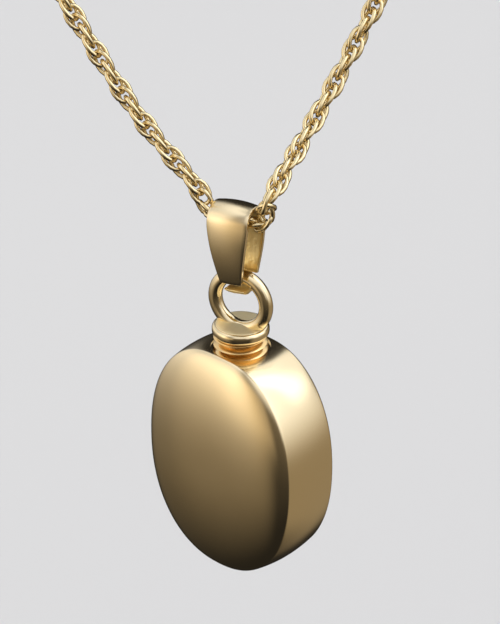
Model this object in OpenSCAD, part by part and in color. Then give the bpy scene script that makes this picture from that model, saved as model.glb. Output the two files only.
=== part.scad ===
/* [Urn] */
// Width of the urn across its faces
urn_w = 18.8; // [14:0.1:26]
// Height of the urn at the edge of its faces
urn_h = 24.2; // [18:0.1:32]
// Depth of the band between the edges of the two faces
band_depth = 6.1; // [5:0.1:9]
// Height of each domed face above its edge
dome_h = 2; // [0.8:0.1:4]
// Height of the band's swell at its middle
band_swell = 0.3; // [0:0.05:0.8]
// Thickness of the urn's wall
urn_wall = 0.8; // [0.5:0.05:1.2]
// Depth of the dish in the urn's top, at the port
dish_depth = 0.8; // [0.6:0.1:1.6]
// Reach of the dish from the port's axis
dish_reach = 3; // [2.6:0.1:5]
// Further turn of the urn on the stopper, from the bail, in degrees
urn_turn = 13; // [-180:1:180]

/* [Stopper] */
// Mean diameter of the ring
ring_d = 5.7; // [5:0.1:8]
// Thickness of the ring's wire
ring_wire = 1.4; // [0.9:0.05:1.5]
// Diameter of the flange under the ring
flange_d = 5.7; // [5.6:0.1:7]
// Thickness of the flange
flange_t = 1.1; // [0.8:0.1:1.6]
// Depth that the ring is let into the flange
ring_sink = 1.05; // [0.5:0.05:1.2]
// Outer diameter of the thread
thread_d = 5.4; // [4.2:0.1:5.4]
// Depth of the thread
thread_depth = 0.6; // [0.3:0.05:0.8]
// Rise of the thread in one turn
thread_pitch = 0.8; // [0.7:0.1:1.4]
// Length of the thread
thread_l = 4.4; // [3.6:0.1:5]
// Length of the plain point below the thread
point_l = 0.4; // [0.2:0.1:0.8]
// Gap left between the flange and its seat, as the stopper stands unscrewed
stopper_lift = 1.6; // [0.1:0.1:2.6]

/* [Bail] */
// Width of the bail at its top
bail_top_w = 4.5; // [3.4:0.1:6]
// Width of the bail at its foot
bail_foot_w = 2.4; // [1.6:0.1:2.8]
// Height of the bail
bail_h = 9.6; // [8:0.1:12]
// Outer radius of the bail's top bend
bail_top_r = 1.85; // [1.7:0.05:3]
// Outer radius of the bail's foot
bail_foot_r = 1.7; // [1.5:0.05:2.2]
// Thickness of the bail's strap
bail_t = 0.4; // [0.3:0.05:0.5]
// Thickness of the solder in the bail's foot
bail_floor = 0.8; // [0.5:0.1:1.2]
// Turn of the bail from the middle of the necklace, in degrees
bail_turn = 35; // [0:1:45]
// Lean of the bail along the chain, in degrees
bail_lean = 3.5; // [0:0.5:5]

/* [Chain] */
// Outer width of the rope chain
chain_d = 2; // [1.6:0.1:2.1]
// Outer diameter of the clasp's barrel
clasp_d = 3.6; // [3:0.1:5]
// Length of the clasp's barrel
clasp_l = 10; // [8:0.1:14]

/* [Fits] */
// Gap round the thread in the port
port_gap = 0.05; // [0.02:0.01:0.1]
// Gap round the flange in its seat
seat_gap = 0.15; // [0.05:0.05:0.3]
// Gap between the chain and the bail that hangs on it
chain_gap = 0.1; // [0.05:0.05:0.2]
// Gap between the ring's wire and the bail's foot
ring_gap = 0.1; // [0.05:0.05:0.2]
// Gap between the chain's ends and the clasp
clasp_gap = 0.1; // [0.05:0.05:0.2]

/* [Hidden] */
gold = "gold";
pale_gold = "khaki";

// Squareness of the urn's oval, 2 for an ellipse
oval_power = 2.2;
// Fullness of a dome in its middle and at its edge
dome_fullness = 2.5;
dome_edge = 0.6;
// Sides of the urn's oval, and its rows of faces
urn_sides = 64;
dome_rows = 6;
band_rows = 4;
// Wall and length of the neck inside the port
neck_wall = 0.8;
neck_l = 2.4;
// Depth of the neck's top under the flange's seat, so that it stays in the wall
neck_drop = 0.5;
// Sides and slices of the thread, for each turn
thread_sides = 24;
thread_slices = 12;
// Rounding of the flange's edge
flange_round = 0.25;
// Length of the stud that is let into the flange
stud_root = flange_t / 2;
// How far an outline that cuts the bail's strap runs past it
cut_margin = 1;
// Steps of each of the bail's bends
bend_steps = 32;
// Rounding of the clasp's ends
clasp_round = 0.7;
// Sides of the chain's tube, and the farthest that its rings lie apart
chain_sides = 8;
chain_step = 7;

// Middle of the chain in the bail
hang = [0, -110, -118];
// Right half of the chain's route, from the clasp to the bail
half_route = [
    [17, 0.5, -1],
    [32, -5, -3],
    [45.5, -15, -7],
    [56, -29, -13],
    [62, -44, -20],
    [63, -57, -27],
    [58.5, -67, -37],
    [48.5, -75, -52],
    [34.5, -85, -72],
    [21, -94.5, -91],
    [10, -103, -108]
];
// How the chain rises out of the bail's right and left ends: distances along it and up
right_rise = [[4.3, 3.4], [3.5, 1.3], [2.6, 0]];
left_rise = [[-2.5, 0], [-3.4, 1.1], [-4.5, 2.9]];

// Heights on the bail's own axis, measured from the chain
bail_top_z = chain_d / 2 + chain_gap + bail_t;
top_bend_z = bail_top_z - bail_top_r;
bail_bottom_z = bail_top_z - bail_h;
foot_bend_z = bail_bottom_z + bail_foot_r;
bail_floor_z = bail_bottom_z + bail_floor;
// Inner radius of the ring, and the drop of its middle, so that it hangs on both edges of the bail's foot
ring_in_r = ring_d / 2 - ring_wire / 2;
ring_drop = -bail_floor_z + sqrt(pow(ring_in_r - ring_gap, 2) - pow(bail_foot_w / 2, 2));

// Heights on the pendant's axis, measured from the ring's middle
flange_top_z = -ring_d / 2 - ring_wire / 2 + ring_sink;
flange_z = flange_top_z - flange_t;
seat_z = flange_z - stopper_lift;
seat_rise = urn_h / 2 + band_swell - dish_depth;
urn_z = seat_z - seat_rise;
port_d = thread_d + 2 * port_gap;

// A point in the bail's own upright plane: distances along the chain and up from it
function in_bail(along, up) = let (side = along * cos(bail_lean) - up * sin(bail_lean))
    hang + [side * cos(bail_turn), -side * sin(bail_turn), along * sin(bail_lean) + up * cos(bail_lean)];

// Puts what is modelled round the chain's line in its place on the chain
module on_chain() {
    translate(hang)
        rotate([0, -bail_lean, -bail_turn])
            children();
}

// Puts what is modelled round the ring's middle in its place in the bail, with a further turn
module on_ring(turn) {
    translate(in_bail(0, -ring_drop))
        rotate([0, 0, -bail_turn - turn])
            children();
}

// Superellipse coordinate of a sine or cosine
function lobe(value) = sign(value) * pow(abs(value), 2 / oval_power);

// Height of a dome of a given rise at a share of the way from its middle to its edge
function dome(share, rise) = rise * pow(max(0, 1 - pow(share, dome_fullness)), dome_edge);

// Fall of the urn's top into the dish round the port
function dish(u, w, climb) = dish_depth * exp(-(u * u + w * w) / pow(dish_reach, 2)) * pow(max(0, climb), 2);

// Rows of an oval vessel from its front to its back: share of the outline, and depth
function vessel_rows(half_band, rise, swell) = concat(
    [for (k = [1:dome_rows]) let (share = sin(90 * k / dome_rows)) [share, -half_band - dome(share, rise)]],
    [for (k = [1:band_rows - 1]) let (side = 2 * k / band_rows - 1) [1 + swell * (1 - side * side), side * half_band]],
    [for (k = [dome_rows:-1:1]) let (share = sin(90 * k / dome_rows)) [share, half_band + dome(share, rise)]]
);

// A point of an oval vessel
function vessel_point(row, angle, half_w, half_h) = let (
    u = half_w * row[0] * lobe(cos(angle)),
    climb = row[0] * lobe(sin(angle))
) [u, row[1], half_h * climb - dish(u, row[1], climb)];

// An oval vessel with two domed faces, a swelling band and a dished top, solid
module vessel(inset) {
    half_w = urn_w / 2 - inset;
    half_h = urn_h / 2 - inset;
    half_band = band_depth / 2 - inset / 2;
    rise = dome_h - inset / 2;
    rows = vessel_rows(half_band, rise, band_swell / half_h);
    last = len(rows) - 1;
    n = urn_sides;
    points = concat(
        [for (row = rows) for (j = [0:n - 1]) vessel_point(row, 360 * j / n, half_w, half_h)],
        [[0, -half_band - rise, 0], [0, half_band + rise, 0]]
    );
    front = len(points) - 2;
    back = front + 1;
    faces = concat(
        [for (j = [0:n - 1]) [front, (j + 1) % n, j]],
        [for (i = [0:last - 1]) for (j = [0:n - 1]) let (k = (j + 1) % n) [i * n + j, i * n + k, (i + 1) * n + k]],
        [for (i = [0:last - 1]) for (j = [0:n - 1]) let (k = (j + 1) % n) [i * n + j, (i + 1) * n + k, (i + 1) * n + j]],
        [for (j = [0:n - 1]) [back, last * n + j, last * n + (j + 1) % n]]
    );
    polyhedron(points, faces);
}

// The hollow urn, with its port at the top
module urn() {
    color(gold)
        on_ring(urn_turn)
            translate([0, 0, urn_z])
                difference() {
                    union() {
                        difference() {
                            vessel(0);
                            vessel(urn_wall);
                        }
                        translate([0, 0, seat_rise - neck_drop - neck_l])
                            cylinder(d = port_d + 2 * neck_wall, h = neck_l, $fn = 48);
                    }
                    translate([0, 0, seat_rise - 2 * neck_l])
                        cylinder(d = port_d, h = 4 * neck_l, $fn = 48);
                    translate([0, 0, seat_rise])
                        cylinder(d = flange_d + 2 * seat_gap, h = 2 * dish_depth, $fn = 48);
                }
}

// The thread: an offset circle, twisted as it rises
module thread(l) {
    turns = l / thread_pitch;
    linear_extrude(height = l, twist = -360 * turns, slices = ceil(turns * thread_slices))
        translate([thread_depth / 2, 0])
            circle(d = thread_d - thread_depth, $fn = thread_sides);
}

// A round disc or barrel that stands on the plane, with rounded edges
module rounded_round(d, h, rounding) {
    rotate_extrude($fn = 64) {
        square([d / 2 - rounding, h]);
        translate([0, rounding])
            square([d / 2, h - 2 * rounding]);
        for (y = [rounding, h - rounding])
            translate([d / 2 - rounding, y])
                circle(r = rounding, $fn = 32);
    }
}

// Ring, flange and threaded stud in one
module stopper() {
    color(gold)
        on_ring(0) {
            rotate([90, 0, 0])
                rotate_extrude($fn = 64)
                    translate([ring_d / 2, 0])
                        circle(d = ring_wire, $fn = 24);
            translate([0, 0, flange_z])
                rounded_round(flange_d, flange_t, flange_round);
            translate([0, 0, flange_z - thread_l])
                thread(thread_l + stud_root);
            translate([0, 0, flange_z - thread_l - point_l])
                cylinder(d = thread_d - 2 * thread_depth, h = point_l + thread_l + stud_root, $fn = 48);
        }
}

// Points of an arc round a middle
function arc(middle, r, from, to) = [for (k = [0:bend_steps]) let (angle = from + (to - from) * k / bend_steps)
    middle + r * [cos(angle), sin(angle)]];

// Outline of a loop round two bends, seen along the chain
module loop_outline(top_r, foot_r) {
    lean = asin((top_r - foot_r) / (top_bend_z - foot_bend_z));
    polygon(concat(
        arc([0, top_bend_z], top_r, -lean, 180 + lean),
        arc([0, foot_bend_z], foot_r, 180 + lean, 360 - lean)
    ));
}

// Outline of the bail seen from its front
module bail_face() {
    top = bail_top_w / 2;
    foot = bail_foot_w / 2;
    polygon([
        [-top, bail_top_z],
        [top, bail_top_z],
        [top, top_bend_z],
        [foot, foot_bend_z],
        [foot, bail_bottom_z],
        [-foot, bail_bottom_z],
        [-foot, foot_bend_z],
        [-top, top_bend_z]
    ]);
}

// The bail's opening seen along the chain, closed at its foot by the solder
module bail_opening() {
    intersection() {
        loop_outline(bail_top_r - bail_t, bail_foot_r - bail_t);
        translate([-bail_top_r, bail_floor_z])
            square([2 * bail_top_r, bail_h]);
    }
}

// Folded strap that hangs on the chain and holds the ring
module bail() {
    color(gold)
        on_chain()
            intersection() {
                rotate([90, 0, 90])
                    linear_extrude(height = bail_top_w + 2 * cut_margin, center = true)
                        difference() {
                            loop_outline(bail_top_r, bail_foot_r);
                            bail_opening();
                        }
                rotate([90, 0, 0])
                    linear_extrude(height = 2 * (bail_top_r + cut_margin), center = true)
                        bail_face();
            }
}

function mirrored(p) = [-p[0], p[1], p[2]];

// The route's points, right half first
function route() = let (
    start = [clasp_l / 2 + clasp_gap, clasp_d / 2, 0],
    right = concat([start], half_route),
    n = len(right)
) concat(
    right,
    [for (place = concat(right_rise, left_rise)) in_bail(place[0], place[1])],
    [for (i = [n - 1:-1:0]) mirrored(right[i])]
);

// A point on a smooth curve through four points, between the middle two
function smooth(a, b, c, d, t) =
    0.5 * (2 * b + (c - a) * t + (2 * a - 5 * b + 4 * c - d) * t * t + (3 * b - a - 3 * c + d) * t * t * t);

// The route with points added where its own lie far apart
function fine_route(p) = let (last = len(p) - 1) concat(
    [for (i = [0:last - 1]) let (
        before = p[max(i - 1, 0)],
        after = p[min(i + 2, last)],
        steps = ceil(norm(p[i + 1] - p[i]) / chain_step)
    ) for (k = [0:steps - 1]) smooth(before, p[i], p[i + 1], after, k / steps)],
    [p[last]]
);

// Direction of a line of points at one of them
function heading(p, i) = let (d = p[min(i + 1, len(p) - 1)] - p[max(i - 1, 0)]) d / norm(d);

// Sideways direction at each point, carried along the line so that the tube doesn't twist
function sideways(p, i = 0, last = [0, 0, 1]) = i == len(p) ? [] : let (
    along = heading(p, i),
    flat = last - along * (last * along),
    side = flat / norm(flat)
) concat([side], sideways(p, i + 1, side));

// A round tube along a line of points
module tube(p, d, sides) {
    side = sideways(p);
    last = len(p) - 1;
    points = [for (i = [0:last]) let (along = heading(p, i), up = side[i], out = cross(along, up))
        for (j = [0:sides - 1]) let (angle = 360 * j / sides) p[i] + d / 2 * (cos(angle) * up + sin(angle) * out)];
    walls = [for (i = [0:last - 1]) for (j = [0:sides - 1]) let (k = (j + 1) % sides)
        [i * sides + j, (i + 1) * sides + j, (i + 1) * sides + k, i * sides + k]];
    start = [[for (j = [0:sides - 1]) j]];
    end = [[for (j = [sides - 1:-1:0]) last * sides + j]];
    polyhedron(points, concat(start, walls, end));
}

// The rope chain's outer form, round the neck and through the bail
module chain() {
    color(pale_gold)
        tube(fine_route(route()), chain_d, chain_sides);
}

// Closed barrel clasp at the nape
module clasp() {
    color(pale_gold)
        translate([-clasp_l / 2, clasp_d / 2, 0])
            rotate([0, 90, 0])
                rounded_round(clasp_d, clasp_l, clasp_round);
}

chain();
clasp();
bail();
stopper();
urn();
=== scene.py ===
"""Dress the keepsake urn pendant: a rope chain and clasp, a strap bail, a ring stopper and a hollow urn.

Every piece is modelled in millimetres round its own middle and then put in its place in the shared frame, in
metres, with the sizes that the solids have.
"""

import logging
import math
from dataclasses import dataclass
from enum import Enum
from typing import Sequence

import bmesh
import bpy
import numpy as np
from mathutils import Matrix, Vector, noise

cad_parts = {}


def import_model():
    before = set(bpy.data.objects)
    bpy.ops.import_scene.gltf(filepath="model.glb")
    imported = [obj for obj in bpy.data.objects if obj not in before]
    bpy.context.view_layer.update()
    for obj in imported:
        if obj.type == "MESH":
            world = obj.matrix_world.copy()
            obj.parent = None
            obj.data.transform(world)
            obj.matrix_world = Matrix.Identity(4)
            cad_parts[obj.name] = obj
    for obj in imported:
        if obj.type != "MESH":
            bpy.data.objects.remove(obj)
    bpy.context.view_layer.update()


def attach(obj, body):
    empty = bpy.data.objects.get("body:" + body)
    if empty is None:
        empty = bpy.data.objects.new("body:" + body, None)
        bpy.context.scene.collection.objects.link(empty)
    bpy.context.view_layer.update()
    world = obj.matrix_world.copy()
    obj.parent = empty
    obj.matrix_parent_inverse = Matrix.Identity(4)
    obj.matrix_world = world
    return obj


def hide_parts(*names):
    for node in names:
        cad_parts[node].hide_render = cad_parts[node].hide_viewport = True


LOG = logging.getLogger("pendant")
MM = 0.001
MERGED = 1e-4
SAME_SPOT = 1e-6
FULL_TURN = 2 * math.pi
Colour = tuple[float, float, float, float]
Spot = tuple[float, float, float]
Profile = list[tuple[float, float]]


class Body(Enum):
    """The bodies of the frame that the pieces ride on."""

    NECKLACE = "necklace"
    BAIL = "bail"
    STOPPER = "stopper"
    URN = "urn"


class Slot(Enum):
    """The record's material slots."""

    POLISHED = "polished_gold"
    CHAIN = "chain_gold"


class Cut(Enum):
    """What one solid does to another."""

    UNION = "UNION"
    DIFFERENCE = "DIFFERENCE"


@dataclass(frozen=True)
class Value:
    """A number that leaves a socket, so that shader maths reads as plain expressions."""

    bench: "Bench"
    socket: bpy.types.NodeSocket

    def _maths(self, operation: str, other: "Value | float", swapped: bool = False) -> "Value":
        """Add the Math node for one operation.

        Args:
            operation: the Math node's operation.
            other: the second number.
            swapped: whether the other number comes first.

        Returns:
            The node's result.
        """
        pair = (other, self) if swapped else (self, other)
        node = self.bench.node("ShaderNodeMath", {"operation": operation}, {0: pair[0], 1: pair[1]})
        return Value(self.bench, node.outputs[0])

    def __add__(self, other: "Value | float") -> "Value":
        """Sum."""
        return self._maths("ADD", other)

    def __sub__(self, other: "Value | float") -> "Value":
        """Difference."""
        return self._maths("SUBTRACT", other)

    def __rsub__(self, other: "Value | float") -> "Value":
        """Difference with the number first."""
        return self._maths("SUBTRACT", other, swapped=True)

    def __mul__(self, other: "Value | float") -> "Value":
        """Product."""
        return self._maths("MULTIPLY", other)

    __radd__ = __add__
    __rmul__ = __mul__


class Bench:
    """A node tree, and the one method that makes its nodes."""

    def __init__(self, tree: bpy.types.NodeTree) -> None:
        """Clear a node tree and work on it.

        Args:
            tree: the tree of a material or of the world.
        """
        self.tree = tree
        tree.nodes.clear()

    def node(self, kind: str, settings: dict | None = None, inputs: dict | None = None) -> bpy.types.Node:
        """Add a node, set it, and then fill its sockets.

        Args:
            kind: the node's type.
            settings: its own settings, such as a Math node's operation.
            inputs: a value or a link for each socket, by name or number.

        Returns:
            The new node.
        """
        made = self.tree.nodes.new(kind)
        for name, setting in (settings or {}).items():
            setattr(made, name, setting)
        for key, value in (inputs or {}).items():
            source = value.socket if isinstance(value, Value) else value
            if isinstance(source, bpy.types.NodeSocket):
                self.tree.links.new(source, made.inputs[key])
            else:
                made.inputs[key].default_value = source
        return made

    def noise(self, vector: bpy.types.NodeSocket, grain_mm: float, detail: float = 2.0) -> Value:
        """Add a noise whose blotches have a given size.

        Args:
            vector: the coordinates, in metres.
            grain_mm: size of a blotch.
            detail: octaves of finer noise.

        Returns:
            The noise from 0 to 1.
        """
        scale = 1 / (grain_mm * MM)
        node = self.node("ShaderNodeTexNoise", None, {"Vector": vector, "Scale": scale, "Detail": detail})
        return Value(self, node.outputs["Fac"])

    def rise(self, value: Value, start: float, end: float) -> Value:
        """Ease from 0 to 1 as a number passes from one bound to another.

        Args:
            value: the number.
            start: where the result is 0.
            end: where the result is 1.

        Returns:
            The eased number.
        """
        node = self.node(
            "ShaderNodeMapRange",
            {"interpolation_type": "SMOOTHSTEP"},
            {"Value": value, "From Min": start, "From Max": end},
        )
        return Value(self, node.outputs["Result"])

    def blend(self, share: "Value | float", first: object, second: object) -> bpy.types.NodeSocket:
        """Mix two colours.

        Args:
            share: share of the second colour.
            first: a colour or a link.
            second: a colour or a link.

        Returns:
            The mixed colour's socket.
        """
        node = self.node("ShaderNodeMix", {"data_type": "RGBA"}, {0: share, 6: first, 7: second})
        return node.outputs[2]

    def surface(self, inputs: dict) -> None:
        """Add the shader of a plain surface and join it to the material's output.

        Args:
            inputs: a value or a link for each of the shader's sockets.
        """
        shader = self.node("ShaderNodeBsdfPrincipled", None, inputs)
        self.node("ShaderNodeOutputMaterial", None, {"Surface": shader.outputs["BSDF"]})


@dataclass(frozen=True)
class GoldFinish:
    """Yellow gold, from mirror polish to the raw skin inside a bail, whose colour there is made lighter as
    painted bounce light.

    Sizes are in millimetres, and a cloud's size is in smudges. Clouds turn the colour slowly towards the
    warm one, smudges change its gloss, and dents make it uneven. Hairlines are the faint marks that a
    polishing cloth leaves, and the squeeze draws them out upright.
    """

    name: str
    colour: Colour
    warm: Colour
    roughness: float
    smudge: float = 0.05
    smudge_mm: float = 2.5
    dent_mm: float = 0.6
    dent_depth: float = 0.0
    hairline: float = 0.0004
    hair_mm: float = 0.05
    hair_squeeze: float = 0.12
    cloud_smudges: float = 3.0
    cloud_share: float = 0.5

    def material(self) -> bpy.types.Material:
        """Build the finish's nodes.

        Returns:
            The material.
        """
        made = bpy.data.materials.new(self.name)
        made.use_nodes = True
        bench = Bench(made.node_tree)
        place = bench.node("ShaderNodeTexCoord").outputs["Object"]
        smudges = bench.noise(place, self.smudge_mm)
        clouds = bench.noise(place, self.smudge_mm * self.cloud_smudges, 3.0)
        dents = bench.noise(place, self.dent_mm, 3.0)
        squeeze = (1.0, 1.0, self.hair_squeeze)
        upright = bench.node("ShaderNodeMapping", None, {"Vector": place, "Scale": squeeze})
        hairs = bench.noise(upright.outputs["Vector"], self.hair_mm, 1.0)
        height = hairs * self.hairline + dents * self.dent_depth
        bump = bench.node("ShaderNodeBump", None, {"Strength": 1.0, "Distance": MM, "Height": height})
        bench.surface(
            {
                "Base Color": bench.blend(clouds * self.cloud_share, self.colour, self.warm),
                "Metallic": 1.0,
                "Roughness": smudges * self.smudge + (self.roughness - self.smudge / 2),
                "Normal": bump.outputs["Normal"],
            }
        )
        return made


class Finishes:
    """The materials of the pendant, each made once."""

    MIRROR = GoldFinish("mirror_gold", (0.93, 0.77, 0.49, 1), (0.92, 0.73, 0.44, 1), 0.2)
    BRIGHT = GoldFinish("bright_ring_gold", (0.92, 0.77, 0.50, 1), (0.90, 0.70, 0.38, 1), 0.12, smudge_mm=1.2)
    ROPE = GoldFinish("rope_gold", (0.93, 0.78, 0.47, 1), (0.90, 0.68, 0.34, 1), 0.2, smudge_mm=1.0)
    THREAD = GoldFinish("cut_thread_gold", (0.95, 0.68, 0.32, 1), (0.92, 0.58, 0.22, 1), 0.24, smudge_mm=0.6)
    SATIN = GoldFinish(
        "satin_gold",
        (0.99, 0.86, 0.56, 1),
        (0.97, 0.78, 0.42, 1),
        0.55,
        smudge=0.1,
        smudge_mm=0.8,
        dent_mm=0.5,
        dent_depth=0.03,
    )
    # The bail's inside: a rough, dented raw skin. Its colour is lighter and warmer than the mirror gold's,
    # which is painted bounce light inside the bail.
    INSIDE_PAINTED_LIGHTER = GoldFinish(
        "raw_inside_gold_painted_lighter",
        (1.0, 0.83, 0.44, 1),
        (0.97, 0.66, 0.22, 1),
        0.34,
        smudge=0.12,
        smudge_mm=0.8,
        dent_mm=0.5,
        dent_depth=0.05,
        hairline=0.001,
    )
    SOLDER = GoldFinish(
        "solder_gold",
        (1.0, 0.83, 0.44, 1),
        (0.98, 0.70, 0.27, 1),
        0.4,
        smudge=0.08,
        smudge_mm=0.5,
        dent_mm=0.35,
        dent_depth=0.04,
        hairline=0.001,
    )

    def __init__(self) -> None:
        """Start with no material made."""
        self._made: dict[str, bpy.types.Material] = {}

    def of(self, finish: GoldFinish) -> bpy.types.Material:
        """Give a finish's material, made when it is first asked for.

        Args:
            finish: the finish.

        Returns:
            Its material.
        """
        if finish.name not in self._made:
            self._made[finish.name] = finish.material()
        return self._made[finish.name]


def as_mesh(bm: bmesh.types.BMesh, name: str) -> bpy.types.Mesh:
    """Turn a shape that is still worked on into a finished mesh.

    Args:
        bm: the shape, which is used up.
        name: the mesh's name.

    Returns:
        The mesh.
    """
    mesh = bpy.data.meshes.new(name)
    bm.to_mesh(mesh)
    bm.free()
    return mesh


def linked(name: str, data: bpy.types.ID) -> bpy.types.Object:
    """Put a mesh, a camera or a light in the scene.

    Args:
        name: the object's name.
        data: the mesh, camera or light.

    Returns:
        The object.
    """
    made = bpy.data.objects.new(name, data)
    bpy.context.scene.collection.objects.link(made)
    return made


@dataclass(frozen=True)
class Piece:
    """A piece of the scene and where it belongs."""

    name: str
    body: Body
    slot: Slot
    replaced: tuple[str, ...] = ()
    crease_deg: float = 35.0

    def show(self, bm: bmesh.types.BMesh, place: Matrix, materials: Sequence[bpy.types.Material]) -> None:
        """Turn a shape in millimetres into a piece of the scene in metres.

        Args:
            bm: the shape, which is used up.
            place: where its middle lies in the shared frame, in millimetres.
            materials: the materials, by the faces' numbers.
        """
        bmesh.ops.transform(bm, matrix=Matrix.Scale(MM, 4) @ place, verts=bm.verts)
        mesh = as_mesh(bm, self.name)
        mesh.polygons.foreach_set("use_smooth", [True] * len(mesh.polygons))
        mesh.set_sharp_from_angle(angle=math.radians(self.crease_deg))
        for material in materials:
            mesh.materials.append(material)
        piece = linked(self.name, mesh)
        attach(piece, self.body.value)
        if self.replaced:
            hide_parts(*self.replaced)
        LOG.info("%s: %d faces, rides on %s", self.name, len(mesh.polygons), self.body.value)


def whole(bm: bmesh.types.BMesh) -> list:
    """Give every vertex, edge and face of a shape."""
    return bm.verts[:] + bm.edges[:] + bm.faces[:]


def draw_line(bm: bmesh.types.BMesh, spots: Sequence[Spot]) -> list[bmesh.types.BMEdge]:
    """Draw edges from spot to spot, and give them."""
    corners = [bm.verts.new(spot) for spot in spots]
    return [bm.edges.new(pair) for pair in zip(corners, corners[1:])]


def draw_out(
    bm: bmesh.types.BMesh, edges: list[bmesh.types.BMEdge], rows: int, shift: Spot
) -> list[bmesh.types.BMEdge]:
    """Extrude a line of edges into rows of faces.

    Args:
        bm: the shape.
        edges: the line's edges.
        rows: how many rows.
        shift: how far one row reaches.

    Returns:
        The edges at the far side of the last row.
    """
    for _ in range(rows):
        made = bmesh.ops.extrude_edge_only(bm, edges=edges)
        edges = [e for e in made["geom"] if isinstance(e, bmesh.types.BMEdge)]
        moved = [v for v in made["geom"] if isinstance(v, bmesh.types.BMVert)]
        bmesh.ops.translate(bm, verts=moved, vec=shift)
    return edges


def spin_closed(bm: bmesh.types.BMesh, axis: Spot, steps: int) -> None:
    """Spin an outline once round an axis through the middle, and turn the faces outwards.

    Args:
        bm: the shape, which holds only the outline.
        axis: the axis.
        steps: steps round it.
    """
    bmesh.ops.spin(
        bm,
        geom=whole(bm),
        cent=(0, 0, 0),
        axis=axis,
        angle=FULL_TURN,
        steps=steps,
        use_merge=True,
    )
    bmesh.ops.remove_doubles(bm, verts=bm.verts, dist=MERGED)
    bmesh.ops.recalc_face_normals(bm, faces=bm.faces)


def wire_ring(bend: float, wire: float, sides: int, steps: int) -> bmesh.types.BMesh:
    """Bend a wire into a round ring that stands upright and faces the front.

    Args:
        bend: radius of the wire's middle line.
        wire: diameter of the wire.
        sides: sides of the wire.
        steps: steps round the ring.

    Returns:
        The ring.
    """
    bm = bmesh.new()
    start = Matrix.Translation((bend, 0, 0))
    bmesh.ops.create_circle(bm, radius=wire / 2, segments=sides, matrix=start)
    spin_closed(bm, (0, 1, 0), steps)
    return bm


def round_bar(diameter: float, length: float, low: float, sides: int = 64) -> bmesh.types.BMesh:
    """Model an upright round bar.

    Args:
        diameter: its diameter.
        length: its length.
        low: height of its lower end.
        sides: its sides.

    Returns:
        The bar.
    """
    bm = bmesh.new()
    bmesh.ops.create_cone(
        bm,
        cap_ends=True,
        segments=sides,
        radius1=diameter / 2,
        radius2=diameter / 2,
        depth=length,
        matrix=Matrix.Translation((0, 0, low + length / 2)),
    )
    return bm


def bevel_sharp(bm: bmesh.types.BMesh, width: float, segments: int, angle_deg: float = 40.0) -> None:
    """Round every sharp edge of a shape.

    Args:
        bm: the shape.
        width: width of the rounding.
        segments: steps across it.
        angle_deg: the least angle that counts as sharp.
    """
    least = math.radians(angle_deg)
    sharp = [e for e in bm.edges if len(e.link_faces) == 2 and e.calc_face_angle() > least]
    bmesh.ops.bevel(
        bm,
        geom=sharp,
        offset=width,
        offset_type="OFFSET",
        segments=segments,
        profile=0.5,
        affect="EDGES",
        material=-1,
    )


def lump(bm: bmesh.types.BMesh, height: float, grain: float, seed: float) -> None:
    """Move a shape's vertices along their normals by a soft noise.

    Args:
        bm: the shape.
        height: the farthest that a vertex moves.
        grain: size of a lump.
        seed: shifts the noise.
    """
    bm.normal_update()
    start = Vector((seed, 0, 0))
    shifts = [(v, v.normal * height * noise.noise(v.co / grain + start)) for v in bm.verts]
    for vertex, shift in shifts:
        vertex.co += shift


def carve(base: bmesh.types.BMesh, steps: Sequence[tuple[Cut, bmesh.types.BMesh]]) -> bmesh.types.BMesh:
    """Add solids to a solid and cut others out of it.

    Args:
        base: the first solid, which is used up.
        steps: what each further solid does, in order. They are used up.

    Returns:
        The finished solid.
    """
    main = linked("solid", as_mesh(base, "solid"))
    others = []
    for cut, bm in steps:
        other = linked("solid", as_mesh(bm, "solid"))
        modifier = main.modifiers.new("carve", "BOOLEAN")
        modifier.operation = cut.value
        modifier.object = other
        modifier.solver = "EXACT"
        others.append(other)
    done = bmesh.new()
    done.from_object(main, bpy.context.evaluated_depsgraph_get())
    for used in [main] + others:
        mesh = used.data
        bpy.data.objects.remove(used)
        bpy.data.meshes.remove(mesh)
    return done


@dataclass(frozen=True)
class Hang:
    """Where the bail hangs on the chain, and how it, the ring and the urn are turned."""

    middle: Spot = (0.0, -110.0, -118.0)
    turn_deg: float = 35.0
    lean_deg: float = 3.5
    ring_drop: float = 8.962
    urn_turn_deg: float = 13.0

    def frame(self) -> Matrix:
        """Give the bail's own frame.

        Returns:
            The frame: along the chain, across it and up from it.
        """
        turn = Matrix.Rotation(math.radians(-self.turn_deg), 4, "Z")
        lean = Matrix.Rotation(math.radians(-self.lean_deg), 4, "Y")
        return Matrix.Translation(self.middle) @ turn @ lean

    def ring_frame(self, further_deg: float = 0.0) -> Matrix:
        """Give the frame round the ring's middle.

        Args:
            further_deg: turn beyond the bail's.

        Returns:
            The frame, upright.
        """
        middle = self.frame() @ Vector((0, 0, -self.ring_drop))
        turn = Matrix.Rotation(math.radians(-self.turn_deg - further_deg), 4, "Z")
        return Matrix.Translation(middle) @ turn


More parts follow.
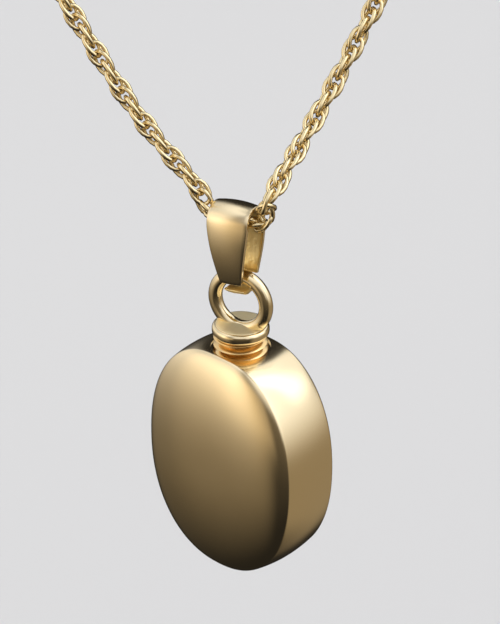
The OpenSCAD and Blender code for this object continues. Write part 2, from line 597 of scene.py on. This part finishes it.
@dataclass(frozen=True)
class RopeChain:
    """The rope chain: each link passes through the next two, and is turned on by an eighth of a turn.

    A link is an oval of wire. A roundness of 1 makes it an ellipse, and less makes its sides straighter.
    """

    hang: Hang
    link_l: float = 3.02
    link_w: float = 2.1
    wire: float = 0.46
    roundness: float = 0.9
    pitch: float = 1.04
    turn_deg: float = 45.0
    twist_deg: float = -6.0
    wire_sides: int = 6
    rounds: int = 16
    curve_steps: int = 40
    clasp_reach: float = 3.9
    clasp_height: float = 1.8
    half_route: tuple[Spot, ...] = (
        (17, 0.5, -1),
        (32, -5, -3),
        (45.5, -15, -7),
        (56, -29, -13),
        (62, -44, -20),
        (63, -57, -27),
        (58.5, -67, -37),
        (48.5, -75, -52),
        (34.5, -85, -72),
        (21, -94.5, -91),
        (10, -103, -108),
    )
    right_rise: tuple[tuple[float, float], ...] = ((4.3, 3.4), (3.5, 1.3), (2.6, 0))
    left_rise: tuple[tuple[float, float], ...] = ((-2.5, 0), (-3.4, 1.1), (-4.5, 2.9))

    def route(self) -> list[Vector]:
        """Choose the points that the chain's line passes through.

        Returns:
            The points, from the clasp's right end through the bail and round to its left end.
        """
        start = Vector((self.clasp_reach, self.clasp_height, 0))
        right = [start] + [Vector(spot) for spot in self.half_route]
        bail = self.hang.frame()
        inside = [bail @ Vector((along, 0, up)) for along, up in self.right_rise + self.left_rise]
        left = [Vector((-spot.x, spot.y, spot.z)) for spot in reversed(right)]
        return right + inside + left

    def line(self) -> np.ndarray:
        """Run a smooth curve through the chosen points.

        Returns:
            The points of the chain's line, one a row.
        """
        p = np.array(self.route())
        before = np.vstack([p[:1], p[:-2]])
        after = np.vstack([p[2:], p[-1:]])
        t = (np.arange(self.curve_steps) / self.curve_steps)[None, :, None]
        a, b, c, d = (side[:, None, :] for side in (before, p[:-1], p[1:], after))
        curve = 2 * b + (c - a) * t
        curve = curve + (2 * a - 5 * b + 4 * c - d) * t**2
        curve = 0.5 * (curve + (3 * b - a - 3 * c + d) * t**3)
        return np.vstack([curve.reshape(-1, 3), p[-1:]])

    def link(self) -> bpy.types.Mesh:
        """Model one link: a wire ring that is drawn out into an oval and twisted as it lies in the rope.

        Returns:
            Its mesh.
        """
        bm = wire_ring((self.link_w - self.wire) / 2, self.wire, self.wire_sides, self.rounds)
        drawn = (self.link_l - self.link_w) / 2
        twist = math.radians(self.twist_deg)
        for vertex in bm.verts:
            climb = vertex.co.z / math.hypot(vertex.co.x, vertex.co.z)
            vertex.co.z += drawn * math.copysign(abs(climb) ** self.roundness, climb)
            vertex.co.rotate(Matrix.Rotation(twist * vertex.co.z / (self.link_l / 2), 3, "Z"))
        return as_mesh(bm, "link")

    @staticmethod
    def carried(along: np.ndarray, first: int, last: int) -> dict[int, np.ndarray]:
        """Carry a sideways direction from the middle link to both ends, without turning it about the line.

        Args:
            along: the line's direction at each link.
            first: the first link's number, counted from the middle link.
            last: the last link's number.

        Returns:
            The sideways direction by the link's number.
        """
        sides: dict[int, np.ndarray] = {}
        for step, stop in ((1, last + 1), (-1, first - 1)):
            side = np.array((0.0, 0.0, 1.0))
            for k in range(0, stop, step):
                forward = along[k - first]
                side = side - forward * side.dot(forward)
                side = side / np.linalg.norm(side)
                sides[k] = side
        return sides

    def places(self) -> list[Matrix]:
        """Give each link's place: frames carried along the line, each turned on from the last.

        Returns:
            A frame for each link.
        """
        line = self.line()
        gaps = np.linalg.norm(np.diff(line, axis=0), axis=1)
        line = line[np.concatenate([[True], gaps > SAME_SPOT])]
        run = np.concatenate([[0], np.cumsum(np.linalg.norm(np.diff(line, axis=0), axis=1))])
        middle = run[np.argmin(np.linalg.norm(line - np.array(self.hang.middle), axis=1))]
        first = -int(middle // self.pitch)
        last = int((run[-1] - middle) // self.pitch)
        at = middle + self.pitch * np.arange(first, last + 1)

        def spots(further: float) -> np.ndarray:
            """Give the spots on the line that lie so much further along it than the links' middles."""
            return np.stack([np.interp(at + further, run, line[:, k]) for k in range(3)], axis=1)

        middles = spots(0.0)
        along = spots(self.pitch / 2) - spots(-self.pitch / 2)
        along /= np.linalg.norm(along, axis=1, keepdims=True)
        sides = self.carried(along, first, last)
        frames = []
        for k in range(first, last + 1):
            z = Vector(along[k - first])
            x = Vector(sides[k])
            basis = Matrix((x, z.cross(x), z)).transposed().to_4x4()
            roll = Matrix.Rotation(math.radians(self.turn_deg * k), 4, "Z")
            frames.append(Matrix.Translation(Vector(middles[k - first])) @ basis @ roll)
        return frames

    def build(self, finishes: Finishes) -> None:
        """Lay the links along the chain's line and show them as one piece.

        Args:
            finishes: the materials.
        """
        link = self.link()
        bm = bmesh.new()
        for place in self.places():
            placed = link.copy()
            placed.transform(place)
            bm.from_mesh(placed)
            bpy.data.meshes.remove(placed)
        bpy.data.meshes.remove(link)
        piece = Piece("rope_chain", Body.NECKLACE, Slot.CHAIN, ("chain",), 80.0)
        piece.show(bm, Matrix.Identity(4), [finishes.of(Finishes.ROPE)])


@dataclass(frozen=True)
class BarrelClasp:
    """The closed barrel clasp at the nape: two halves that screw together at a middle seam.

    The bulge says how near its rounded ends keep to the corner: 0 is the corner, and 0.5 is a flat slope.
    """

    diameter: float = 3.6
    length: float = 10.0
    rounding: float = 0.7
    bulge: float = 0.3
    seam_w: float = 0.3
    seam_depth: float = 0.18
    collar_w: float = 1.5
    sides: int = 48

    def half_profile(self) -> Profile:
        """Draw the outline of one half.

        Returns:
            Distance from the middle, and radius, from the seam to the end.
        """
        r = self.diameter / 2
        half = self.length / 2
        low = r - self.seam_depth
        seam = self.seam_w / 2
        collar = half - self.collar_w
        corner = self.bulge * self.rounding
        return [
            (0, low),
            (seam, low),
            (2 * seam, r),
            (collar - seam, r),
            (collar, low),
            (collar + seam, r),
            (half - self.rounding, r),
            (half - corner, r - corner),
            (half, r - self.rounding),
            (half, 0),
        ]

    def build(self, finishes: Finishes) -> None:
        """Turn the barrel and show it.

        Args:
            finishes: the materials.
        """
        half = self.half_profile()
        outline = [(-x, r) for x, r in reversed(half[1:])] + half
        bm = bmesh.new()
        draw_line(bm, [(x, 0, r) for x, r in outline])
        spin_closed(bm, (1, 0, 0), self.sides)
        piece = Piece("barrel_clasp", Body.NECKLACE, Slot.CHAIN, ("clasp",), 50.0)
        piece.show(bm, Matrix.Translation((0, self.diameter / 2, 0)), [finishes.of(Finishes.BRIGHT)])


@dataclass(frozen=True)
class StrapBail:
    """The bail: a strap folded over the chain, with its ends soldered round the ring.

    Its plates are bowed from top to foot and crowned from side to side.
    """

    hang: Hang
    top_w: float = 4.5
    foot_w: float = 2.4
    taper_ease: float = 0.12
    height: float = 9.6
    top_r: float = 1.85
    foot_r: float = 1.7
    wall: float = 0.4
    top_z: float = 1.5
    bow_r: float = 18.0
    crown_r: float = 11.0
    edge_round: float = 0.08
    foot_cut: float = 0.35
    columns: int = 10
    bend_steps: int = 28
    plate_steps: int = 15
    inner_facing: float = 0.6
    solder_rise: float = 0.8
    solder_inset: float = 0.12
    solder_round: float = 0.16
    solder_edge: float = 0.25
    lump_height: float = 0.14
    lump_grain: float = 0.55
    lump_seed: float = 3.0

    @property
    def top_bend_z(self) -> float:
        """Height of the top bend's middle."""
        return self.top_z - self.top_r

    @property
    def foot_bend_z(self) -> float:
        """Height of the foot bend's middle."""
        return self.top_z - self.height + self.foot_r

    def half_width(self, z: float) -> float:
        """Give half the strap's width at a height, easing from its straight top into its taper.

        Args:
            z: the height.

        Returns:
            Half the width.
        """
        share = min(1.0, max(0.0, (self.top_bend_z - z) / (self.top_bend_z - self.foot_bend_z)))
        eased = share + self.taper_ease * math.sin(math.pi * share) * (share - 1)
        return (self.top_w + (self.foot_w - self.top_w) * eased) / 2

    def outline(self) -> Profile:
        """Draw the folded strap's outer line as it looks from the side.

        Returns:
            Depth and height, up the bowed back plate, over the bend and down the front plate.
        """
        top, foot = self.top_bend_z, self.foot_bend_z
        near = self.bow_r - self.top_r
        far = self.bow_r - self.foot_r
        middle_z = (top + foot) / 2 + (far**2 - near**2) / (2 * (top - foot))
        middle_y = math.sqrt(near**2 - (top - middle_z) ** 2)
        high = math.atan2(top - middle_z, middle_y)
        low = math.atan2(foot - middle_z, middle_y)
        low_z = self.bow_r * math.sin(low) + middle_z + self.foot_cut
        rises = np.linspace(math.asin((low_z - middle_z) / self.bow_r), high, self.plate_steps + 1)
        turns = np.linspace(high, math.pi - high, self.bend_steps + 1)
        plate = [(self.bow_r * math.cos(a) - middle_y, self.bow_r * math.sin(a) + middle_z) for a in rises]
        bend = [(self.top_r * math.cos(a), self.top_r * math.sin(a) + top) for a in turns]
        return plate + bend[1:-1] + [(-y, z) for y, z in reversed(plate)]

    def strap(self) -> bmesh.types.BMesh:
        """Fold the strap, widen it, crown it and give it its wall.

        Returns:
            The strap, with its inner faces numbered 1, for the inside finish whose lighter colour is painted
            bounce light.
        """
        bm = bmesh.new()
        line = draw_line(bm, [(0, y, z) for y, z in self.outline()])
        draw_out(bm, line, self.columns, (1 / self.columns, 0, 0))
        bmesh.ops.recalc_face_normals(bm, faces=bm.faces)
        bm.normal_update()
        top = max(bm.faces, key=lambda f: f.calc_center_median().z)
        if top.normal.z < 0:
            bmesh.ops.reverse_faces(bm, faces=bm.faces)
            bm.normal_update()
        for vertex in bm.verts:
            side = 2 * vertex.co.x - 1
            half = self.half_width(vertex.co.z)
            vertex.co += vertex.normal * half**2 / (2 * self.crown_r) * (1 - side * side)
            vertex.co.x = side * half
        outer = bm.faces[:]
        bmesh.ops.solidify(bm, geom=outer, thickness=self.wall)
        bm.normal_update()
        bevel_sharp(bm, self.edge_round, segments=3, angle_deg=50.0)
        bm.normal_update()
        # Faces that look into the bend take the inside finish. Its lighter colour there is painted bounce
        # light.
        for face in bm.faces:
            spot = face.calc_center_median()
            level = min(max(spot.z, self.foot_bend_z), self.top_bend_z)
            inward = Vector((0, -spot.y, level - spot.z)).normalized()
            face.material_index = 1 if face.normal.dot(inward) > self.inner_facing else 0
        return bm

    def solder(self) -> bmesh.types.BMesh:
        """Model the lumpy solder that closes the strap's foot.

        Returns:
            The solder.
        """
        bm = bmesh.new()
        r = self.foot_r - self.solder_inset
        width = self.foot_w - self.solder_inset
        bmesh.ops.create_cone(
            bm,
            cap_ends=True,
            segments=32,
            radius1=r,
            radius2=r,
            depth=width,
            matrix=Matrix.Translation((0, 0, self.foot_bend_z)) @ Matrix.Rotation(math.pi / 2, 4, "Y"),
        )
        cut = bmesh.ops.bisect_plane(
            bm,
            geom=whole(bm),
            plane_co=(0, 0, self.top_z - self.height + self.solder_rise),
            plane_no=(0, 0, 1),
            clear_outer=True,
        )
        rim = [e for e in cut["geom_cut"] if isinstance(e, bmesh.types.BMEdge)]
        bmesh.ops.edgeloop_fill(bm, edges=rim)
        bmesh.ops.recalc_face_normals(bm, faces=bm.faces)
        bevel_sharp(bm, self.solder_round, segments=4, angle_deg=60.0)
        bmesh.ops.triangulate(bm, faces=bm.faces)
        coarse = [e for e in bm.edges if e.calc_length() > self.solder_edge]
        bmesh.ops.subdivide_edges(bm, edges=coarse, cuts=2)
        bmesh.ops.triangulate(bm, faces=bm.faces)
        lump(bm, self.lump_height, self.lump_grain, self.lump_seed)
        return bm

    def build(self, finishes: Finishes) -> None:
        """Show the strap and its solder.

        Args:
            finishes: the materials.
        """
        frame = self.hang.frame()
        strap = Piece("bail_strap", Body.BAIL, Slot.POLISHED, ("bail",))
        strap.show(self.strap(), frame, [finishes.of(Finishes.MIRROR), finishes.of(Finishes.INSIDE_PAINTED_LIGHTER)])
        solder = Piece("bail_solder", Body.BAIL, Slot.POLISHED, ("bail",), 60.0)
        solder.show(self.solder(), frame, [finishes.of(Finishes.SOLDER)])


@dataclass(frozen=True)
class RingStopper:
    """The stopper: a wire ring on a round flange, over a threaded stud with a plain point.

    The tooth's foot and shoulder are heights in its outline, as shares of the thread's pitch.
    """

    hang: Hang
    ring_d: float = 5.7
    wire: float = 1.4
    flange_d: float = 5.7
    flange_t: float = 1.1
    flange_round: float = 0.4
    solder_d: float = 5.0
    solder_h: float = 0.2
    sink: float = 1.05
    thread_d: float = 5.4
    thread_depth: float = 0.6
    pitch: float = 0.8
    thread_l: float = 4.4
    tooth_foot: float = 0.14
    tooth_shoulder: float = 0.38
    crest_round: float = 0.12
    point_l: float = 0.4
    point_root: float = 0.4
    point_round: float = 0.15
    wire_sides: int = 24
    round_sides: int = 80
    thread_steps: int = 40

    @property
    def flange_z(self) -> float:
        """Height of the flange's underside over the ring's middle."""
        return -self.ring_d / 2 - self.wire / 2 + self.sink - self.flange_t

    @property
    def root_r(self) -> float:
        """Radius of the stud between the thread's teeth."""
        return self.thread_d / 2 - self.thread_depth

    def flange(self) -> bmesh.types.BMesh:
        """Turn the flange, with rounded edges.

        Returns:
            The flange.
        """
        bm = round_bar(self.flange_d, self.flange_t, self.flange_z, self.round_sides)
        bevel_sharp(bm, self.flange_round, segments=5)
        return bm

    def solder(self) -> bmesh.types.BMesh:
        """Model the low mound of solder that the ring stands in.

        Returns:
            The mound.
        """
        bm = bmesh.new()
        bmesh.ops.create_uvsphere(bm, u_segments=48, v_segments=24, radius=1.0)
        reach = self.solder_d / 2
        bmesh.ops.scale(bm, vec=(reach, reach, self.solder_h), verts=bm.verts)
        bmesh.ops.translate(bm, verts=bm.verts, vec=(0, 0, self.flange_z + self.flange_t))
        return bm

    def tooth(self) -> Profile:
        """Draw one tooth of the thread.

        Returns:
            Radius, and height as a share of the pitch.
        """
        crest = self.thread_d / 2
        eased = crest - self.crest_round
        return [
            (self.root_r, 0),
            (self.root_r, self.tooth_foot),
            (eased, self.tooth_shoulder),
            (crest, 0.5),
            (eased, 1 - self.tooth_shoulder),
            (self.root_r, 1 - self.tooth_foot),
            (self.root_r, 1),
        ]

    def thread(self) -> bmesh.types.BMesh:
        """Cut the thread: a tooth's outline is spun and raised, and the ends are cut level.

        Returns:
            The threaded stud without its point.
        """
        bm = bmesh.new()
        low = self.flange_z - self.thread_l
        turns = math.ceil(self.thread_l / self.pitch) + 2
        draw_line(bm, [(r, 0, low - self.pitch + rise * self.pitch) for r, rise in self.tooth()])
        bmesh.ops.spin(
            bm,
            geom=whole(bm),
            cent=(0, 0, 0),
            axis=(0, 0, 1),
            angle=FULL_TURN * turns,
            steps=self.thread_steps * turns,
            dvec=(0, 0, self.pitch / self.thread_steps),
        )
        bmesh.ops.remove_doubles(bm, verts=bm.verts, dist=MERGED)
        for height, up in ((low, -1), (self.flange_z + self.flange_t / 2, 1)):
            bmesh.ops.bisect_plane(
                bm,
                geom=whole(bm),
                plane_co=(0, 0, height),
                plane_no=(0, 0, up),
                clear_outer=True,
            )
        bmesh.ops.holes_fill(bm, edges=[e for e in bm.edges if e.is_boundary], sides=0)
        bmesh.ops.recalc_face_normals(bm, faces=bm.faces)
        return bm

    def stud(self) -> bmesh.types.BMesh:
        """Join the thread and its plain point.

        Returns:
            The threaded stud.
        """
        bm = self.thread()
        low = self.flange_z - self.thread_l
        point = round_bar(2 * self.root_r, self.point_l + self.point_root, low - self.point_l, 48)
        bevel_sharp(point, self.point_round, segments=3)
        mesh = as_mesh(point, "point")
        bm.from_mesh(mesh)
        bpy.data.meshes.remove(mesh)
        return bm

    def build(self, finishes: Finishes) -> None:
        """Show the ring, its solder, the flange and the stud.

        Args:
            finishes: the materials.
        """
        frame = self.hang.ring_frame()
        bright = [finishes.of(Finishes.BRIGHT)]
        bent = wire_ring(self.ring_d / 2, self.wire, self.wire_sides, self.round_sides)
        ring = Piece("stopper_ring", Body.STOPPER, Slot.POLISHED, ("stopper",))
        ring.show(bent, frame, bright)
        solder = Piece("stopper_solder", Body.STOPPER, Slot.POLISHED, ("stopper",))
        solder.show(self.solder(), frame, [finishes.of(Finishes.SATIN)])
        flange = Piece("stopper_flange", Body.STOPPER, Slot.POLISHED, ("stopper",))
        flange.show(self.flange(), frame, bright)
        stud = Piece("threaded_stud", Body.STOPPER, Slot.POLISHED, ("stopper",), 50.0)
        stud.show(self.stud(), frame, [finishes.of(Finishes.THREAD)])


@dataclass(frozen=True)
class HollowUrn:
    """The urn: two domed oval faces on a band, hollow, with a dished top and a port with a neck.

    Its outline is an oval of a given power, where 2 is an ellipse and more is squarer. The fullness and the
    edge shape the domes. A mesh is given as the sides of its oval, the rows on each dome and the rows across
    the band.
    """

    hang: Hang
    seat_z: float = -5.2
    width: float = 18.8
    height: float = 24.2
    band_depth: float = 6.1
    dome: float = 2.0
    swell: float = 0.3
    wall: float = 0.8
    dish_depth: float = 0.8
    dish_reach: float = 3.0
    oval_power: float = 2.2
    fullness: float = 2.5
    edge: float = 0.6
    port_d: float = 5.5
    seat_d: float = 6.0
    neck_wall: float = 0.8
    neck_l: float = 2.4
    neck_drop: float = 0.5
    overcut: float = 1.0
    outer_mesh: tuple[int, int, int] = (160, 28, 16)
    inner_mesh: tuple[int, int, int] = (64, 8, 6)

    @property
    def seat_rise(self) -> float:
        """Height of the flange's seat over the urn's middle."""
        return self.height / 2 + self.swell - self.dish_depth

    def rows(self, half_band: float, rise: float, swell: float, dome_rows: int, band_rows: int) -> Profile:
        """Give the vessel's rows of vertices from front to back.

        Args:
            half_band: half the band's depth.
            rise: height of a dome.
            swell: how far the band bulges, as a share of the outline.
            dome_rows: rows on each dome.
            band_rows: rows across the band.

        Returns:
            Each row's share of the outline, and its depth.
        """
        shares = [math.sin(math.pi / 2 * k / dome_rows) for k in range(1, dome_rows + 1)]
        domes = [(s, half_band + rise * max(0.0, 1 - s**self.fullness) ** self.edge) for s in shares]
        sides = [2 * k / band_rows - 1 for k in range(1, band_rows)]
        band = [(1 + swell * (1 - side * side), side * half_band) for side in sides]
        return [(s, -depth) for s, depth in domes] + band + list(reversed(domes))

    def vessel(self, inset: float, sides: int, dome_rows: int, band_rows: int) -> bmesh.types.BMesh:
        """Model the vessel's outer form or, with an inset, its hollow.

        Args:
            inset: how far it lies inside the outer form.
            sides: sides of its oval.
            dome_rows: rows of faces on each dome.
            band_rows: rows of faces across the band.

        Returns:
            The closed form.
        """
        half_w = self.width / 2 - inset
        half_h = self.height / 2 - inset
        half_band = self.band_depth / 2 - inset / 2
        rise = self.dome - inset / 2
        rows = self.rows(half_band, rise, self.swell / half_h, dome_rows, band_rows)
        bm = bmesh.new()
        bmesh.ops.create_circle(bm, cap_ends=True, cap_tris=True, radius=1.0, segments=sides)
        rim = [e for e in bm.edges if e.is_boundary]
        far_rim = draw_out(bm, rim, len(rows) - 1, (0, 0, 1))
        cap = bmesh.ops.edgeloop_fill(bm, edges=far_rim)
        bmesh.ops.poke(bm, faces=cap["faces"])
        for vertex in bm.verts:
            vertex.co = self.formed(vertex.co, rows, half_w, half_h, half_band + rise)
        bmesh.ops.recalc_face_normals(bm, faces=bm.faces)
        if bm.calc_volume(signed=True) < 0:
            bmesh.ops.reverse_faces(bm, faces=bm.faces)
        return bm

    def formed(self, flat: Vector, rows: Profile, half_w: float, half_h: float, reach: float) -> Vector:
        """Move a vertex of the plain tube to its place on the vessel.

        Args:
            flat: its place on the tube: a direction, and the number of its row.
            rows: the vessel's rows.
            half_w: half the vessel's width.
            half_h: half its height.
            reach: depth of a dome's middle.

        Returns:
            The vertex's place.
        """
        number = round(flat.z)
        on_axis = math.hypot(flat.x, flat.y) < 0.5
        if on_axis:
            return Vector((0, -reach if number == 0 else reach, 0))
        share, depth = rows[number]
        angle = math.atan2(flat.y, flat.x)
        power = 2 / self.oval_power
        across = math.copysign(abs(math.cos(angle)) ** power, math.cos(angle)) * share
        climb = math.copysign(abs(math.sin(angle)) ** power, math.sin(angle)) * share
        u = half_w * across
        near = math.exp(-(u * u + depth * depth) / self.dish_reach**2)
        fall = self.dish_depth * near * max(0.0, climb) ** 2
        return Vector((u, depth, half_h * climb - fall))

    def build(self, finishes: Finishes) -> None:
        """Hollow the vessel, bore its port and show it.

        Args:
            finishes: the materials.
        """
        neck_low = self.seat_rise - self.neck_drop - self.neck_l
        neck = round_bar(self.port_d + 2 * self.neck_wall, self.neck_l, neck_low)
        bore = round_bar(self.port_d, 2 * self.neck_l + 2 * self.overcut, neck_low - self.overcut)
        seat = round_bar(self.seat_d, 2 * self.dish_depth, self.seat_rise)
        bm = carve(
            self.vessel(0, *self.outer_mesh),
            [
                (Cut.DIFFERENCE, self.vessel(self.wall, *self.inner_mesh)),
                (Cut.UNION, neck),
                (Cut.DIFFERENCE, bore),
                (Cut.DIFFERENCE, seat),
            ],
        )
        drop = Matrix.Translation((0, 0, self.seat_z - self.seat_rise))
        place = self.hang.ring_frame(self.hang.urn_turn_deg) @ drop
        piece = Piece("urn_vessel", Body.URN, Slot.POLISHED, ("urn",), 30.0)
        piece.show(bm, place, [finishes.of(Finishes.MIRROR)])


@dataclass(frozen=True)
class Glow:
    """A soft patch of light on the room's walls.

    Angles are in degrees. The bearing is 0 in front and rises to the wearer's left, the picture's right.
    The patch is full within one angle of its bearing, and has faded at the other. Upwards it starts at low,
    is full from low_full to high_full, and ends at high.
    """

    name: str
    bearing: float
    full: float
    faded: float
    low: float
    low_full: float
    high_full: float
    high: float
    strength: float
    warm: bool = False

    def light(self, bench: Bench, level: bpy.types.NodeSocket, height: Value) -> Value:
        """Work out the patch's light in the direction that is looked in.

        Args:
            bench: the room's nodes.
            level: the direction's level part, of length one.
            height: the direction's height, from -1 to 1.

        Returns:
            The light.
        """
        turn = math.radians(self.bearing)
        middle = (math.sin(turn), -math.cos(turn), 0.0)
        near = bench.node("ShaderNodeVectorMath", {"operation": "DOT_PRODUCT"}, {0: level, 1: middle})
        facing = Value(bench, near.outputs["Value"])
        faded, full = (math.cos(math.radians(a)) for a in (self.faded, self.full))
        low, low_full = (math.sin(math.radians(a)) for a in (self.low, self.low_full))
        high_full, high = (math.sin(math.radians(a)) for a in (self.high_full, self.high))
        wide = bench.rise(facing, faded, full)
        over = bench.rise(height, low, low_full)
        under = bench.rise(height, high_full, high)
        return wide * over * (1 - under) * self.strength


@dataclass(frozen=True)
class Studio:
    """The camera, the pale floor with its lamp, and the soft room."""

    eye: Spot = (-26.511, -410.780, 34.248)
    yaw_deg: float = 5.3
    pitch_deg: float = 28.3
    lens_mm: float = 252.0
    sensor_mm: float = 36.0
    nearest_m: float = 0.01
    farthest_m: float = 50.0
    floor_z: float = -210.0
    floor_half: float = 4000.0
    floor_colour: Colour = (0.62, 0.61, 0.60, 1)
    floor_pale: Colour = (0.66, 0.65, 0.63, 1)
    floor_cloud: float = 400.0
    floor_roughness: float = 0.75
    lamp_z: float = 1600.0
    lamp_size: float = 1500.0
    lamp_watts: float = 9.0
    dim: float = 0.02
    daylight: Colour = (0.97, 1.0, 1.07, 1)
    lamplight: Colour = (1.0, 0.82, 0.56, 1)
    glows: tuple[Glow, ...] = (
        Glow("left_window", -116, 38, 62, -34, 12, 65, 88, 0.75),
        Glow("left_floor", -98, 34, 63, -62, -10, 10, 40, 0.24, True),
        Glow("left_front", -78, 8, 34, -46, 10, 30, 60, 0.36, True),
        Glow("left_low", -58, 14, 30, -24, -10, 10, 30, 0.36, True),
        Glow("front", 0, 20, 60, -50, 10, 40, 60, 0.13, True),
        Glow("front_top", 10, 35, 75, 8, 45, 60, 88, 0.8),
        Glow("right_front", 38, 10, 28, -6, 12, 28, 50, 0.5),
        Glow("right_window", 78, 12, 38, -20, 22, 60, 88, 1.1),
        Glow("right_back", 115, 28, 36, 12, 30, 75, 88, 1.1),
        Glow("right_floor", 88, 30, 62, -75, -42, -10, 25, 0.28, True),
        Glow("ceiling", 0, 179, 180, 40, 85, 89, 90, 0.5),
    )

    def camera(self) -> None:
        """Stand the camera at the photo's angle."""
        data = bpy.data.cameras.new("camera")
        data.lens = self.lens_mm
        data.sensor_width = self.sensor_mm
        data.sensor_fit = "HORIZONTAL"
        data.clip_start = self.nearest_m
        data.clip_end = self.farthest_m
        made = linked("camera", data)
        turn = Matrix.Rotation(math.radians(-self.yaw_deg), 4, "Z")
        tip = Matrix.Rotation(math.radians(90 - self.pitch_deg), 4, "X")
        made.matrix_world = Matrix.Translation(Vector(self.eye) * MM) @ turn @ tip
        bpy.context.scene.camera = made

    def floor(self) -> None:
        """Lay the pale floor below the pendant, and keep it out of the gold's reflections."""
        bm = bmesh.new()
        bmesh.ops.create_grid(bm, x_segments=4, y_segments=4, size=self.floor_half * MM)
        bmesh.ops.translate(bm, verts=bm.verts, vec=(0, 0, self.floor_z * MM))
        mesh = as_mesh(bm, "floor")
        floor = linked("floor", mesh)
        floor.visible_glossy = False
        material = bpy.data.materials.new("pale_floor")
        material.use_nodes = True
        bench = Bench(material.node_tree)
        place = bench.node("ShaderNodeTexCoord").outputs["Object"]
        cloud = bench.noise(place, self.floor_cloud)
        colour = bench.blend(cloud, self.floor_colour, self.floor_pale)
        bench.surface({"Base Color": colour, "Roughness": self.floor_roughness})
        mesh.materials.append(material)

    def floor_lamp(self) -> None:
        """Hang the soft light that keeps the floor pale."""
        data = bpy.data.lights.new("floor_light", "AREA")
        data.shape = "DISK"
        data.size = self.lamp_size * MM
        data.energy = self.lamp_watts
        made = linked("floor_light", data)
        made.matrix_world = Matrix.Translation((0, 0, self.lamp_z * MM))
        made.visible_glossy = False

    def room(self) -> None:
        """Light the room with its soft patches."""
        world = bpy.data.worlds.new("room")
        bpy.context.scene.world = world
        world.use_nodes = True
        bench = Bench(world.node_tree)
        way = bench.node("ShaderNodeTexCoord").outputs["Generated"]
        parts = bench.node("ShaderNodeSeparateXYZ", None, {0: way})
        height = Value(bench, parts.outputs["Z"])
        flat = bench.node("ShaderNodeVectorMath", {"operation": "MULTIPLY"}, {0: way, 1: (1, 1, 0)})
        level = bench.node("ShaderNodeVectorMath", {"operation": "NORMALIZE"}, {0: flat.outputs[0]})
        skies = []
        for warm, colour in ((False, self.daylight), (True, self.lamplight)):
            light: Value | float = self.dim / 2
            for glow in self.glows:
                if glow.warm == warm:
                    light = glow.light(bench, level.outputs[0], height) + light
            sky = bench.node("ShaderNodeBackground", None, {"Color": colour, "Strength": light})
            skies.append(sky.outputs["Background"])
        both = bench.node("ShaderNodeAddShader", None, {0: skies[0], 1: skies[1]})
        bench.node("ShaderNodeOutputWorld", None, {"Surface": both.outputs["Shader"]})

    def build(self) -> None:
        """Set the whole studio."""
        self.camera()
        self.floor()
        self.floor_lamp()
        self.room()
        bpy.context.scene.view_settings.view_transform = "Standard"
        LOG.info("the studio is set")


def main() -> None:
    """Build every piece in order."""
    logging.basicConfig(level=logging.INFO, format="%(name)s %(message)s")
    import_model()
    hang = Hang()
    finishes = Finishes()
    Studio().build()
    RopeChain(hang).build(finishes)
    BarrelClasp().build(finishes)
    StrapBail(hang).build(finishes)
    RingStopper(hang).build(finishes)
    HollowUrn(hang).build(finishes)
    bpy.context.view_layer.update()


if __name__ == "__main__":
    main()
